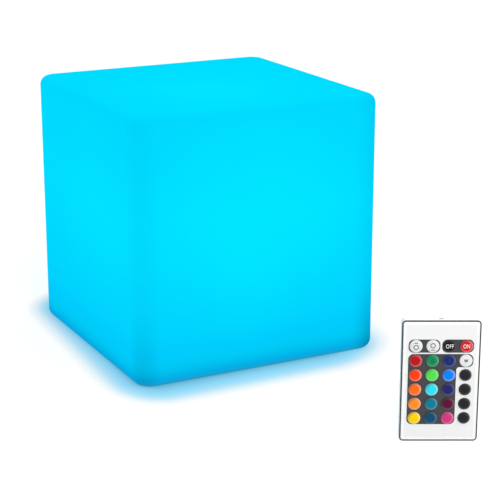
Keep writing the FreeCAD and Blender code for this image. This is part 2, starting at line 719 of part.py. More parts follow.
cube_pieces = {
    "diffuser_shell": diffuser_shell(),
    "shell_inserts": shell_inserts(),
    "base_gasket": base_gasket(),
    "base_plate": base_plate(),
    "base_screws": base_screws(),
    "electronics_housing": electronics_housing(),
    "housing_screws": housing_screws(),
    "led_board": led_board(),
    "led_packages": led_packages(),
    "infrared_receiver": infrared_receiver(),
    "led_cover": led_cover(),
    "led_cover_seal": led_cover_seal(),
    "battery_cell": battery_cell(),
    "battery_holder": battery_holder(),
    "battery_contacts": battery_contacts(),
    "battery_leads": battery_leads(),
    "led_leads": led_leads(),
    "control_board": control_board(),
    "control_board_components": control_board_components(),
    "power_switch": power_switch(),
    "power_button": power_button(),
    "charging_jack": charging_jack(),
    "charging_port_cover": charging_port_cover(),
    "charge_indicator": charge_indicator(),
}
remote_pieces = {
    "remote_back_case": remote_back_case(),
    "remote_rim": remote_rim_frame(),
    "remote_front_case": remote_front_case(),
    "remote_face_label": remote_face_label(),
    "remote_label_panels": remote_label_panels(),
    "remote_keypad_mat": remote_keypad_mat(),
    "remote_circuit_board": remote_circuit_board(),
    "remote_controller": remote_controller(),
    "remote_infrared_led": remote_infrared_led(),
    "remote_battery_tray": remote_battery_tray(),
    "remote_coin_cell": remote_coin_cell(),
    "remote_battery_contacts": remote_battery_contacts(),
}
for name, x, z, radius in remote_keys():
    remote_pieces[name] = remote_key(x, z, radius)

pieces = dict(cube_pieces)
pieces.update({name: in_place(shape) for name, shape in remote_pieces.items()})

os.makedirs("parts", exist_ok=True)
for name, shape in pieces.items():
    if not shape.isValid() or not shape.Solids:
        raise ValueError(name + " isn't a valid solid")
    shape.exportStep("parts/" + name + ".step")
print(len(pieces), "nodes,", sum(len(shape.Solids) for shape in pieces.values()), "solids")
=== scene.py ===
import math
import bmesh
import bpy
from mathutils import Matrix, Vector


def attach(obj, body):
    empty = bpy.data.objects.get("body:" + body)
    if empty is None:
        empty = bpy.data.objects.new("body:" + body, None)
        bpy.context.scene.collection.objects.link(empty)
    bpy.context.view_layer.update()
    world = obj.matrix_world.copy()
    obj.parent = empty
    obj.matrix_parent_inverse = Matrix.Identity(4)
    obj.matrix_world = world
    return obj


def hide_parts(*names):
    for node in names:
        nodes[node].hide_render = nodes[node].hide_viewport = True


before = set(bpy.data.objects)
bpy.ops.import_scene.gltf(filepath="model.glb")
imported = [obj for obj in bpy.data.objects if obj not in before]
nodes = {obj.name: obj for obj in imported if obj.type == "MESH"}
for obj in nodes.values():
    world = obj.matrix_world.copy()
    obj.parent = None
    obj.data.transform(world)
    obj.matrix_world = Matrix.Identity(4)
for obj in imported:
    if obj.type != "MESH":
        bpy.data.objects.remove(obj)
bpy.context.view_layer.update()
print("frame loaded:", len(nodes), "CAD nodes")

mm = 0.001


# helpers for materials

def linear(hexColour):
    # sRGB hex, as it is picked from a picture, to the linear colour that shaders use
    channels = [int(hexColour[i:i + 2], 16) / 255 for i in (0, 2, 4)]
    return [c / 12.92 if c <= 0.04045 else ((c + 0.055) / 1.055) ** 2.4 for c in channels] + [1.0]


def addNode(tree, kind, settings=None, links=None):
    # adds a node; settings are its sockets or its own options, links go to its sockets
    node = tree.nodes.new(kind)
    for key, value in (settings or {}).items():
        if isinstance(key, int) or key in node.inputs:
            node.inputs[key].default_value = value
        else:
            setattr(node, key, value)
    for key, source in (links or {}).items():
        tree.links.new(source, node.inputs[key])
    return node


def newMaterial(name):
    material = bpy.data.materials.new(name)
    material.use_nodes = True
    material.node_tree.nodes.clear()
    tree = material.node_tree
    return material, tree, addNode(tree, "ShaderNodeTexCoord").outputs["Object"]


def shadedBy(tree, shader):
    addNode(tree, "ShaderNodeOutputMaterial", None, {"Surface": shader.outputs[0]})


def fillRamp(node, stops):
    # stops are (position, hex colour)
    ramp = node.color_ramp
    while len(ramp.elements) < len(stops):
        ramp.elements.new(1.0)
    for element, (position, hexColour) in zip(ramp.elements, stops):
        element.position = position
        element.color = linear(hexColour)
    return node


def twoTones(tree, factor, first, second):
    mix = addNode(tree, "ShaderNodeMix",
                  {"data_type": "RGBA", 6: linear(first), 7: linear(second)}, {0: factor})
    return mix.outputs[2]


def grains(size):
    # a noise texture's scale, from the real size of its grains in millimetres
    return 1 / (size * mm)


# helpers for modelling

over = 1 * mm      # how far a cutting tool stands out of what it cuts
tiny = 0.01 * mm   # for finding faces and edges by their place


def choose(*pieces):
    # selects only these; the last one is active
    bpy.ops.object.select_all(action="DESELECT")
    for piece in pieces:
        piece.select_set(True)
        bpy.context.view_layer.objects.active = piece


def added(name):
    piece = bpy.context.object
    piece.name = name
    piece.data.name = name
    bpy.ops.object.transform_apply(location=True, rotation=True, scale=True)
    return piece


def edit(piece, mode="FACE"):
    choose(piece)
    bpy.ops.object.mode_set(mode="EDIT")
    bpy.ops.mesh.select_mode(type=mode)
    bpy.ops.mesh.select_all(action="DESELECT")


def pickFaces(wanted):
    # in edit mode; wanted takes a face's middle and normal
    mesh = bmesh.from_edit_mesh(bpy.context.object.data)
    bpy.ops.mesh.select_all(action="DESELECT")
    for face in mesh.faces:
        face.select_set(bool(wanted(face.calc_center_median(), face.normal)))
    bmesh.update_edit_mesh(bpy.context.object.data)


def pickEdges(wanted):
    # in edit mode; wanted takes an edge's middle and direction
    mesh = bmesh.from_edit_mesh(bpy.context.object.data)
    bpy.ops.mesh.select_all(action="DESELECT")
    for edge in mesh.edges:
        a, b = edge.verts[0].co, edge.verts[1].co
        edge.select_set(bool(wanted((a + b) / 2, (b - a).normalized())))
    bmesh.update_edit_mesh(bpy.context.object.data)


def roundedEdges(piece, wanted, radius, steps):
    edit(piece, "EDGE")
    pickEdges(wanted)
    bpy.ops.mesh.bevel(offset=radius, segments=steps, affect="EDGES")
    leaveEdit()


def leaveEdit():
    bpy.ops.object.mode_set(mode="OBJECT")


def applied(piece, kind, **settings):
    # adds a modifier and applies it
    choose(piece)
    modifier = piece.modifiers.new(kind.lower(), kind)
    for key, value in settings.items():
        setattr(modifier, key, value)
    bpy.ops.object.modifier_apply(modifier=modifier.name)


def combined(piece, tool, operation):
    applied(piece, "BOOLEAN", object=tool, operation=operation, solver="EXACT")
    bpy.data.objects.remove(tool)


def joined(name, *pieces):
    choose(*pieces)
    bpy.ops.object.join()
    piece = bpy.context.object
    piece.name = name
    piece.data.name = name
    return piece


def smoothed(piece, angle=35):
    choose(piece)
    bpy.ops.object.shade_smooth_by_angle(angle=math.radians(angle))
    applied(piece, "WEIGHTED_NORMAL", keep_sharp=True)


def painted(piece, material):
    piece.data.materials.append(material)


def post(radius, low, high, x=0.0, y=0.0, steps=32):
    # an upright cylinder from one height to another
    bpy.ops.mesh.primitive_cylinder_add(vertices=steps, radius=radius, depth=high - low,
                                        location=(x, y, (low + high) / 2))
    return added("post")


# camera, at the photograph's viewing angle

cameraValues = {
    "place": (-0.5115, -1.0742, 0.4222),
    "down": 16.644,              # degrees below level
    "aside": -27.20,             # degrees from straight along Y
    "lens": 112.8,
    "sensor": 36,
    "farthest": 50,
}
camera = bpy.data.objects.new("camera", bpy.data.cameras.new("camera"))
bpy.context.scene.collection.objects.link(camera)
bpy.context.scene.camera = camera
camera.location = cameraValues["place"]
camera.rotation_euler = (math.radians(90 - cameraValues["down"]), 0, math.radians(cameraValues["aside"]))
camera.data.sensor_width = cameraValues["sensor"]
camera.data.lens = cameraValues["lens"]
camera.data.clip_end = cameraValues["farthest"]

# plain soft studio light

studio = {
    "skyColour": "FFFFFF",
    "skyStrength": 0.94,         # light from all round, without what the camera sees
    "backdropColour": "FFFFFF",
    "aim": (0, -0.08, 0.08),     # both lamps point here
    "lampSize": 1.0,
    "keyPlace": (-0.3, -1.8, 1.2),     # a soft box above and behind the camera
    "keyPower": 13.0,            # watts
    "fillPlace": (1.1, -1.2, 0.5),     # a second one, low and to the right
    "fillPower": 6.5,
}

world = bpy.data.worlds.new("studio")
bpy.context.scene.world = world
world.use_nodes = True
skyTree = world.node_tree
skyTree.nodes.clear()


def seenRays(tree):
    # 1 for what the camera sees straight, mirrored or through something clear
    path = addNode(tree, "ShaderNodeLightPath").outputs
    mirrored = addNode(tree, "ShaderNodeMath", {"operation": "MAXIMUM"},
                       {0: path["Is Glossy Ray"], 1: path["Is Transmission Ray"]})
    return addNode(tree, "ShaderNodeMath", {"operation": "MAXIMUM"},
                   {0: path["Is Camera Ray"], 1: mirrored.outputs[0]}).outputs[0]


ambient = addNode(skyTree, "ShaderNodeBackground",
                  {"Color": linear(studio["skyColour"]), "Strength": studio["skyStrength"]})
backdrop = addNode(skyTree, "ShaderNodeBackground",
                   {"Color": linear(studio["backdropColour"]), "Strength": 1.0})
skyMix = addNode(skyTree, "ShaderNodeMixShader", None,
                 {0: seenRays(skyTree), 1: ambient.outputs[0], 2: backdrop.outputs[0]})
addNode(skyTree, "ShaderNodeOutputWorld", None, {"Surface": skyMix.outputs[0]})


def softBox(name, place, power):
    lamp = bpy.data.objects.new(name, bpy.data.lights.new(name, "AREA"))
    bpy.context.scene.collection.objects.link(lamp)
    lamp.data.shape = "SQUARE"
    lamp.data.size = studio["lampSize"]
    lamp.data.energy = power
    lamp.location = place
    lamp.rotation_euler = (Vector(studio["aim"]) - Vector(place)).to_track_quat("-Z", "Y").to_euler()


softBox("keyLamp", studio["keyPlace"], studio["keyPower"])
softBox("fillLamp", studio["fillPlace"], studio["fillPower"])

# floor: plain and pale, with a painted glow and painted shade of the cube lying round its foot

floorValues = {
    "size": 12.0,
    # the painted glow's four sides: the way out, a little aslant, where it starts and how far it goes
    "sides": (((1, -0.2, 0), 0.0731, 0.0723), ((-1, 0.055, 0), 0.0740, 0.0473),
              ((0.0265, -1, 0), 0.0774, 0.0603), ((-0.0265, 1, 0), 0.100, 0.055)),
    "diffuseShare": 0.4,         # lit by the lamps, so that it takes the shadows
    "ownShare": 0.64,            # its own colour, for what the camera sees
    # the painted glow and painted shade of the cube: dark cyan at its foot, out to white
    "glow": ((0, "258FAA"), (0.1, "3B9BB7"), (0.18, "52A8C3"), (0.26, "67B5D0"), (0.36, "7DC1DC"),
             (0.48, "8BD0EA"), (0.58, "9AD6ED"), (0.68, "B8DDED"), (0.8, "E2ECEF"),
             (0.9, "F5F3F4"), (1.0, "FFFFFF")),
}

floorMaterial, tree, place = newMaterial("whiteStudioPaper")
outward = []
for way, start, reach in floorValues["sides"]:
    # distance out from one side of the foot, in units of that side's reach
    across = addNode(tree, "ShaderNodeVectorMath", {"operation": "DOT_PRODUCT", 1: way}, {0: place})
    outward.append(addNode(tree, "ShaderNodeMath",
                           {"operation": "MULTIPLY_ADD", 1: 1 / reach, 2: -start / reach},
                           {0: across.outputs["Value"]}).outputs[0])
pairs = []
for first, second in (outward[:2], outward[2:]):
    further = addNode(tree, "ShaderNodeMath", {"operation": "MAXIMUM"}, {0: first, 1: second}).outputs[0]
    pairs.append(addNode(tree, "ShaderNodeMath", {"operation": "MAXIMUM", 1: 0.0}, {0: further}).outputs[0])
offset = addNode(tree, "ShaderNodeCombineXYZ", None, {0: pairs[0], 1: pairs[1]})
distance = addNode(tree, "ShaderNodeVectorMath", {"operation": "LENGTH"}, {0: offset.outputs[0]})
# the floor's colour: painted glow and painted shade of the cube by distance from its foot, white further out
glow = fillRamp(addNode(tree, "ShaderNodeValToRGB", None, {0: distance.outputs["Value"]}),
                floorValues["glow"]).outputs[0]
ownLight = addNode(tree, "ShaderNodeMath", {"operation": "MULTIPLY", 1: floorValues["ownShare"]},
                   {0: seenRays(tree)})
paper = addNode(tree, "ShaderNodeBsdfDiffuse", {"Roughness": 0.5}, {"Color": glow})
paperTint = addNode(tree, "ShaderNodeEmission", None, {"Color": glow, "Strength": ownLight.outputs[0]})
paperMix = addNode(tree, "ShaderNodeMixShader", {0: floorValues["diffuseShare"]}, {2: paper.outputs[0]})
paperSum = addNode(tree, "ShaderNodeAddShader", None, {0: paperMix.outputs[0], 1: paperTint.outputs[0]})
shadedBy(tree, paperSum)

bpy.ops.object.select_all(action="DESELECT")
bpy.ops.mesh.primitive_plane_add(size=floorValues["size"], location=(0, 0, 0))
floor = added("floor")
painted(floor, floorMaterial)
print("camera, light and floor")

# materials of the cube's shell

glowValues = {
    "height": 0.2,
    "byHeight": ((0.0, "1E8CB8"), (0.012, "1C9FCC"), (0.03, "04ABE4"), (0.055, "01BEEE"),
                 (0.085, "01C9F6"), (0.13, "01CBFC"), (0.20, "01D1FD"), (0.30, "01D5FE"),
                 (0.45, "01DAFE"), (0.62, "01DDFF"), (0.80, "01DAFE"), (0.93, "01D9FD"),
                 (0.985, "01D7FD"), (1.0, "01DCFE")),
    "hotSpot": (-0.004, -0.028, 0.115),    # middle of the bright cloud inside
    "hotRadius": (0.0, 0.132),             # full and none
    "hotColour": "01F2FF",
    "cloudMm": 71.4,                       # the cloud's ragged edge: size and depth
    "cloudDepth": 0.03,
    "edgeAxis": (-0.003, 0.0, 0.0),        # the corners dim away from an upright line through here
    "edgeRadius": (0.126, 0.1505),
    "edgeColour": "FFE5F0",
    "edgeFootColour": "605E69",
    "edgeFootHeight": 0.06,
    "skinColour": "001418",
    "skinRoughness": 0.42,
    "skinGrainMm": 0.8,
    "skinGrainDeep": 0.03,                 # mm
}


def glowingPolyethylene():
    # rotation-moulded low-density polyethylene, milky, lit from inside: an even cyan glow with a cloudy
    # bright middle, dimmer along the corners and towards the foot, and a waxy skin with hardly any gloss
    values = glowValues
    material, tree, place = newMaterial("rotationMouldedPolyethyleneLitCyan")
    z = addNode(tree, "ShaderNodeSeparateXYZ", None, {0: place}).outputs[2]
    level = addNode(tree, "ShaderNodeMath", {"operation": "DIVIDE", 1: values["height"]}, {0: z})
    byHeight = fillRamp(addNode(tree, "ShaderNodeValToRGB", None, {0: level.outputs[0]}),
                        values["byHeight"])
    # the bright cloud
    clouds = addNode(tree, "ShaderNodeTexNoise",
                     {"Scale": grains(values["cloudMm"]), "Detail": 2.0, "Roughness": 0.45},
                     {"Vector": place})
    uneven = addNode(tree, "ShaderNodeMath",
                     {"operation": "MULTIPLY_ADD", 1: values["cloudDepth"], 2: -values["cloudDepth"] / 2},
                     {0: clouds.outputs["Fac"]})
    reach = addNode(tree, "ShaderNodeVectorMath", {"operation": "DISTANCE", 1: values["hotSpot"]}, {0: place})
    shaken = addNode(tree, "ShaderNodeMath", {"operation": "ADD"},
                     {0: reach.outputs["Value"], 1: uneven.outputs[0]})
    near, far = values["hotRadius"]
    hot = addNode(tree, "ShaderNodeMapRange",
                  {"interpolation_type": "SMOOTHSTEP", "From Min": near, "From Max": far,
                   "To Min": 1.0, "To Max": 0.0}, {0: shaken.outputs[0]})
    bright = addNode(tree, "ShaderNodeMix", {"data_type": "RGBA", 7: linear(values["hotColour"])},
                     {0: hot.outputs[0], 6: byHeight.outputs[0]})
    # the upright corners, dimmest at the foot
    flat = addNode(tree, "ShaderNodeVectorMath", {"operation": "MULTIPLY", 1: (1, 1, 0)}, {0: place})
    fromAxis = addNode(tree, "ShaderNodeVectorMath", {"operation": "DISTANCE", 1: values["edgeAxis"]},
                       {0: flat.outputs[0]})
    inner, outer = values["edgeRadius"]
    corner = addNode(tree, "ShaderNodeMapRange",
                     {"interpolation_type": "SMOOTHSTEP", "From Min": inner, "From Max": outer,
                      "To Min": 0.0, "To Max": 1.0}, {0: fromAxis.outputs["Value"]})
    foot = addNode(tree, "ShaderNodeMapRange",
                   {"From Max": values["edgeFootHeight"], "To Min": 1.0, "To Max": 0.0}, {0: z})
    edgeTone = twoTones(tree, foot.outputs[0], values["edgeColour"], values["edgeFootColour"])
    glowColour = addNode(tree, "ShaderNodeMix", {"data_type": "RGBA", "blend_type": "MULTIPLY"},
                         {0: corner.outputs[0], 6: bright.outputs[2], 7: edgeTone})
    # waxy skin
    grain = addNode(tree, "ShaderNodeTexNoise", {"Scale": grains(values["skinGrainMm"]), "Detail": 2.0},
                    {"Vector": place})
    skin = addNode(tree, "ShaderNodeBump", {"Strength": 0.4, "Distance": values["skinGrainDeep"] * mm},
                   {"Height": grain.outputs["Fac"]})
    shader = addNode(tree, "ShaderNodeBsdfPrincipled",
                     {"Base Color": linear(values["skinColour"]), "Roughness": values["skinRoughness"],
                      "IOR": 1.51, "Specular IOR Level": 0.0, "Emission Strength": 1.0},
                     {"Emission Color": glowColour.outputs[2], "Normal": skin.outputs[0]})
    shadedBy(tree, shader)
    return material


# materials of everything else

def mouldedPlastic(name, colour, roughness, grainMm=0.5, deep=0.02, ior=1.53, cloudy=0.05):
    # pigmented plastic or rubber from a mould: even colour with faint clouds, 11 mm wide, in the pigment,
    # and the mould's grain
    material, tree, place = newMaterial(name)
    clouds = addNode(tree, "ShaderNodeTexNoise", {"Scale": grains(11.1), "Detail": 2.0}, {"Vector": place})
    shade = addNode(tree, "ShaderNodeMapRange", {"To Min": 1.0 - cloudy, "To Max": 1.0 + cloudy},
                    {0: clouds.outputs["Fac"]})
    tint = addNode(tree, "ShaderNodeVectorMath", {"operation": "SCALE", 0: linear(colour)[:3]},
                   {"Scale": shade.outputs[0]})
    grain = addNode(tree, "ShaderNodeTexNoise", {"Scale": grains(grainMm), "Detail": 2.0},
                    {"Vector": place}).outputs["Fac"]
    rough = addNode(tree, "ShaderNodeMapRange",
                    {"To Min": roughness - 0.06, "To Max": roughness + 0.06}, {0: grain})
    bump = addNode(tree, "ShaderNodeBump", {"Strength": 0.5, "Distance": deep * mm}, {"Height": grain})
    shader = addNode(tree, "ShaderNodeBsdfPrincipled", {"IOR": ior},
                     {"Base Color": tint.outputs[0], "Roughness": rough.outputs[0],
                      "Normal": bump.outputs[0]})
    shadedBy(tree, shader)
    return material


def workedMetal(name, colour, roughness, stretch=(1.0, 1.0, 1.0), grainMm=0.3):
    # metal with the fine marks of its making, drawn out along an axis, and a faint tarnish in 4.5 mm spots
    material, tree, place = newMaterial(name)
    stretched = addNode(tree, "ShaderNodeMapping", {"Scale": stretch}, {"Vector": place})
    marks = addNode(tree, "ShaderNodeTexNoise", {"Scale": grains(grainMm), "Detail": 3.0},
                    {"Vector": stretched.outputs[0]}).outputs["Fac"]
    rough = addNode(tree, "ShaderNodeMapRange",
                    {"To Min": roughness - 0.1, "To Max": roughness + 0.1}, {0: marks})
    tarnish = addNode(tree, "ShaderNodeTexNoise", {"Scale": grains(4.55), "Detail": 3.0}, {"Vector": place})
    shade = addNode(tree, "ShaderNodeMapRange", {"To Min": 0.86, "To Max": 1.05},
                    {0: tarnish.outputs["Fac"]})
    tint = addNode(tree, "ShaderNodeVectorMath", {"operation": "SCALE", 0: linear(colour)[:3]},
                   {"Scale": shade.outputs[0]})
    bump = addNode(tree, "ShaderNodeBump", {"Strength": 0.3, "Distance": 0.01 * mm}, {"Height": marks})
    shader = addNode(tree, "ShaderNodeBsdfPrincipled", {"Metallic": 1.0},
                     {"Base Color": tint.outputs[0], "Roughness": rough.outputs[0],
                      "Normal": bump.outputs[0]})
    shadedBy(tree, shader)
    return material


def glassFibreBoard(name, mask, weave):
    # solder mask over woven cloth: a smooth lacquer with the weave just showing through
    material, tree, place = newMaterial(name)
    threads = {"Scale": 320.0, "Distortion": 0.4}        # a wave of 1 mm, a thread and a gap of 0.5 mm each
    along = addNode(tree, "ShaderNodeTexWave", {"bands_direction": "X", **threads}, {"Vector": place})
    across = addNode(tree, "ShaderNodeTexWave", {"bands_direction": "Y", **threads}, {"Vector": place})
    both = addNode(tree, "ShaderNodeMath", {"operation": "MULTIPLY"},
                   {0: along.outputs["Fac"], 1: across.outputs["Fac"]}).outputs[0]
    bump = addNode(tree, "ShaderNodeBump", {"Strength": 0.2, "Distance": 0.02 * mm}, {"Height": both})
    shader = addNode(tree, "ShaderNodeBsdfPrincipled", {"Roughness": 0.34, "IOR": 1.55},
                     {"Base Color": twoTones(tree, both, mask, weave), "Normal": bump.outputs[0]})
    shadedBy(tree, shader)
    return material


def clearResin(name, colour, roughness, ior, through):
    # cast or moulded clear resin: a little of its own colour, light goes through, flow marks of 3.3 mm
    material, tree, place = newMaterial(name)
    flow = addNode(tree, "ShaderNodeTexNoise", {"Scale": grains(3.33), "Detail": 2.0}, {"Vector": place})
    rough = addNode(tree, "ShaderNodeMapRange",
                    {"To Min": roughness - 0.04, "To Max": roughness + 0.04}, {0: flow.outputs["Fac"]})
    shader = addNode(tree, "ShaderNodeBsdfPrincipled",
                     {"Base Color": linear(colour), "IOR": ior, "Transmission Weight": through},
                     {"Roughness": rough.outputs[0]})
    shadedBy(tree, shader)
    return material


def printedFilm(name, colour, speck, roughness):
    # matt polyester film printed on its back: flat ink under a satin texture of 0.4 mm
    material, tree, place = newMaterial(name)
    dots = addNode(tree, "ShaderNodeTexNoise", {"Scale": grains(0.385), "Detail": 1.0},
                   {"Vector": place}).outputs["Fac"]
    bump = addNode(tree, "ShaderNodeBump", {"Strength": 0.25, "Distance": 0.01 * mm}, {"Height": dots})
    shader = addNode(tree, "ShaderNodeBsdfPrincipled", {"Roughness": roughness, "IOR": 1.57},
                     {"Base Color": twoTones(tree, dots, colour, speck), "Normal": bump.outputs[0]})
    shadedBy(tree, shader)
    return material


litShell = glowingPolyethylene()
# injection-moulded ABS: matt and slightly pebbled where the mould is spark-eroded, soft reflections where
# it is polished
whiteAbs = mouldedPlastic("sparkErodedAbsWhite", "ECEDEB", 0.48)
greyAbs = mouldedPlastic("sparkErodedAbsPaleGrey", "D9DADA", 0.5)
blackAbs = mouldedPlastic("polishedAbsBlack", "1B1C1E", 0.3, 0.8, 0.01)
# the remote's dark frame: painted shade along the seam round the case's edge, made as a charcoal part
rimDark = mouldedPlastic("sparkErodedAbsPaintedSeamShade", "2C2E30", 0.5, 0.4)
backWhite = mouldedPlastic("sparkErodedAbsOffWhite", "F1F1F0", 0.5, 0.5, cloudy=0.02)
caseWhite = mouldedPlastic("glossAbsWhite", "FCFCFB", 0.28, 0.9, 0.006, cloudy=0.01)
# silicone rubber: dull, soft to look at, dusty on the coarser ones
siliconeGrey = mouldedPlastic("compressionMouldedSiliconePaleGrey", "D8D8D4", 0.62, 0.6, 0.015, 1.41)
siliconeClear = mouldedPlastic("compressionMouldedSiliconeMilky", "DDE2E3", 0.55, 0.6, 0.01, 1.41)
buttonRubber = mouldedPlastic("siliconeRubberMidGrey", "8E9296", 0.66, 0.35, 0.03, 1.41)
coverRubber = mouldedPlastic("siliconeRubberPaleGrey", "C9CBCC", 0.66, 0.35, 0.03, 1.41)
# heat-shrunk film, glossy with long soft waves; epoxy, sooty black; insulation, an even sheen
shrinkFilm = mouldedPlastic("shrinkFilmBlue", "2A5FA8", 0.3, 4.0, 0.05, 1.54)
epoxyBlack = mouldedPlastic("epoxyMouldingBlack", "202123", 0.55, 0.2, 0.02, 1.55)
cableRed = mouldedPlastic("pvcInsulationRed", "C4262B", 0.42, 0.7, 0.01)
cableWhite = mouldedPlastic("pvcInsulationWhite", "E4E4E0", 0.42, 0.7, 0.01)
# metals: warm brass with bands from the lathe, bright cool zinc, rolled warm-grey nickel, pressed steel
turnedBrass = workedMetal("knurledBrass", "D8B668", 0.32, (1, 1, 6))
zincSteel = workedMetal("zincPlatedSteel", "C3C6C9", 0.34)
nickelStrip = workedMetal("nickelPlatedSteelStrip", "C9C6BD", 0.28, (0.2, 1, 1))
steelCan = workedMetal("pressedSteel", "C6C8CA", 0.26, grainMm=0.8)
# circuit boards: white to throw the light back, green, and the remote's cheaper brown one
whiteBoard = glassFibreBoard("whiteSolderMaskLaminate", "F1F2EF", "E4E6E2")
greenBoard = glassFibreBoard("greenSolderMaskLaminate", "17603A", "1E7045")
paperBoard = glassFibreBoard("phenolicPaperLaminate", "8A6430", "93703D")
# clear plastics: the dome is milky and shows no sharp image, the light pipe and the LEDs are like glass
frostedDome = clearResin("frostedPolycarbonate", "EEF4F5", 0.45, 1.585, 0.75)
lightPipe = clearResin("clearAcrylic", "F4F8F8", 0.08, 1.49, 0.9)
ledEpoxy = clearResin("waterClearEpoxy", "E4ECF0", 0.06, 1.54, 0.7)
# the remote's face: a pale film, and the near-black grounds printed on it
labelFilm = printedFilm("mattPolyesterLabelPale", "F4F4F4", "F1F1F2", 0.42)
labelInk = printedFilm("mattPolyesterLabelInk", "292B30", "26282D", 0.4)

nodeFinishes = {
    "shell_inserts": turnedBrass, "base_gasket": siliconeGrey, "base_plate": whiteAbs,
    "base_screws": zincSteel, "electronics_housing": greyAbs, "housing_screws": zincSteel,
    "led_board": whiteBoard, "led_packages": ledEpoxy, "infrared_receiver": epoxyBlack,
    "led_cover": frostedDome, "led_cover_seal": siliconeClear, "battery_cell": shrinkFilm,
    "battery_holder": blackAbs, "battery_contacts": nickelStrip, "battery_leads": cableRed,
    "led_leads": cableWhite, "control_board": greenBoard, "control_board_components": epoxyBlack,
    "power_switch": blackAbs, "power_button": buttonRubber, "charging_jack": blackAbs,
    "charging_port_cover": coverRubber, "charge_indicator": lightPipe,
    "remote_face_label": labelFilm, "remote_label_panels": labelInk,
    "remote_keypad_mat": siliconeClear, "remote_circuit_board": paperBoard,
    "remote_controller": epoxyBlack, "remote_infrared_led": ledEpoxy,
    "remote_battery_tray": backWhite, "remote_coin_cell": steelCan,
    "remote_battery_contacts": nickelStrip,
}
for nodeName, finish in nodeFinishes.items():
    node = nodes[nodeName]
    if not node.material_slots:
        node.data.materials.append(finish)
    for materialSlot in node.material_slots:
        materialSlot.material = finish
print("materials")

# the cube's shell

shellValues = {
    "size": 0.2,
    "uprightRadius": 0.014,      # of the four upright edges
    "levelRadius": 0.007,        # of the edges round the top and the bottom
    "outerSteps": (14, 8),       # facets across an upright and a level edge
    "innerSteps": (6, 3),
    "wall": 0.0035,
    "seatRadius": 0.058,         # the round seat for the base, in the underside
    "seatHeight": 0.008,
    "seatLip": 0.0012,
    "openingRadius": 0.048,
    "roundSteps": 96,
    "screwCount": 6,
    "screwCircle": 0.053,
    "firstScrew": 30,            # degrees
    "insertRadius": 0.0023,
    "insertLength": 0.006,
    "insertSteps": 20,
    "bossRadius": 0.0046,
}


def roundCube(name, inset, steps):
    # inset is how far it lies inside the outer skin
    size = shellValues["size"]
    bpy.ops.mesh.primitive_cube_add(size=size - 2 * inset, location=(0, 0, size / 2))
    cube = added(name)
    roundedEdges(cube, lambda middle, way: abs(way.z) > 0.9,
                 shellValues["uprightRadius"] - inset, steps[0])
    roundedEdges(cube, lambda middle, way: abs(abs(middle.z - size / 2) - (size / 2 - inset)) < tiny,
                 shellValues["levelRadius"] - inset, steps[1])
    return cube


def diffuserShell():
    values = shellValues
    wall, seatTop, rim = values["wall"], values["seatHeight"], values["seatRadius"]
    insertTop, roundSteps = seatTop + values["insertLength"], values["roundSteps"]
    shell = roundCube("diffuserShell", 0.0, values["outerSteps"])
    combined(shell, roundCube("hollow", wall, values["innerSteps"]), "DIFFERENCE")
    # the seat's wall and roof, and the bosses of the brass inserts
    combined(shell, post(rim + wall, over, seatTop + wall, steps=roundSteps), "UNION")
    angles = [math.radians(values["firstScrew"]) + math.tau * i / values["screwCount"]
              for i in range(values["screwCount"])]
    screws = [(values["screwCircle"] * math.cos(a), values["screwCircle"] * math.sin(a)) for a in angles]
    bosses = [post(values["bossRadius"], seatTop, insertTop + wall, x, y) for x, y in screws]
    combined(shell, joined("bosses", *bosses), "UNION")
    # the seat, the opening in its roof and the inserts' sockets
    combined(shell, post(rim, -over, seatTop, steps=roundSteps), "DIFFERENCE")
    combined(shell, post(values["openingRadius"], -over, seatTop + 2 * wall, steps=roundSteps), "DIFFERENCE")
    sockets = [post(values["insertRadius"], 0, insertTop, x, y, values["insertSteps"]) for x, y in screws]
    combined(shell, joined("sockets", *sockets), "DIFFERENCE")
    lip = values["seatLip"]
    roundedEdges(shell, lambda middle, way: (abs(math.hypot(middle.x, middle.y) - rim) < lip / 4
                                             and abs(middle.z) < tiny), lip, 3)
    smoothed(shell)
    painted(shell, litShell)
    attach(shell, "cube")
    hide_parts("diffuser_shell")


diffuserShell()
print("cube shell")

# the remote, modelled in its own frame: X to the right, Z up from its bottom end, Y into it from its face

remoteValues = {
    "place": (0.0420, -0.2718, 0.0),
    "turn": -27.2,               # degrees
    "width": 0.052,
    "height": 0.085,
    "depth": 0.0075,
    "corner": 0.0027,
    "rim": 0.00085,              # breadth of the dark frame
    "rimFront": 0.0003,
    "rimBack": 0.0009,
    "rimEdge": 0.0002,
    "backEdge": 0.0007,
    "backWall": 0.00075,
    "trayMouth": (0.026, 0.004, 0.0041),
    "trayMouthPlace": (0, 0.0056, 0.00105),
    # supports inside, each with its sides, its front edge and its heights: two ribs behind the board, and
    # two rails and a stop for the tray
    "supports": (((-0.022, -0.021), 0.00345, (0.034, 0.076)), ((0.021, 0.022), 0.00345, (0.034, 0.076)),
                 ((-0.014, -0.013), 0.00345, (0.0006, 0.029)), ((0.013, 0.014), 0.00345, (0.0006, 0.029)),
                 ((-0.0132, 0.0132), 0.00405, (0.027, 0.028))),
    "supportFoot": 0.0003,       # how deep they stand in the back wall
    "lampHole": 0.0016,
    "lampHolePlace": 0.0049,     # behind the face
    "lampHoleDeep": 0.002,
    "gap": 0.0001,               # between the frame and the front case
    "frontDepth": 0.0024,
    "frontWall": 0.001,
    "frontCorner": 0.0015,
    "frontEdge": 0.0004,
    "border": 0.002,             # round the label
    "labelRecess": 0.00015,
    "columns": 0.01105,
    "rows": 0.01013,
    "firstRow": 0.0176,
    "colourKey": 0.00425,
    "modeKey": 0.0040,
    "keyGap": 0.00015,
    "stand": 0.001,              # how far the keys' crowns stand out of the face
}
remoteToFloor = (Matrix.Translation(remoteValues["place"])
                 @ Matrix.Rotation(math.radians(remoteValues["turn"]), 4, "Z"))


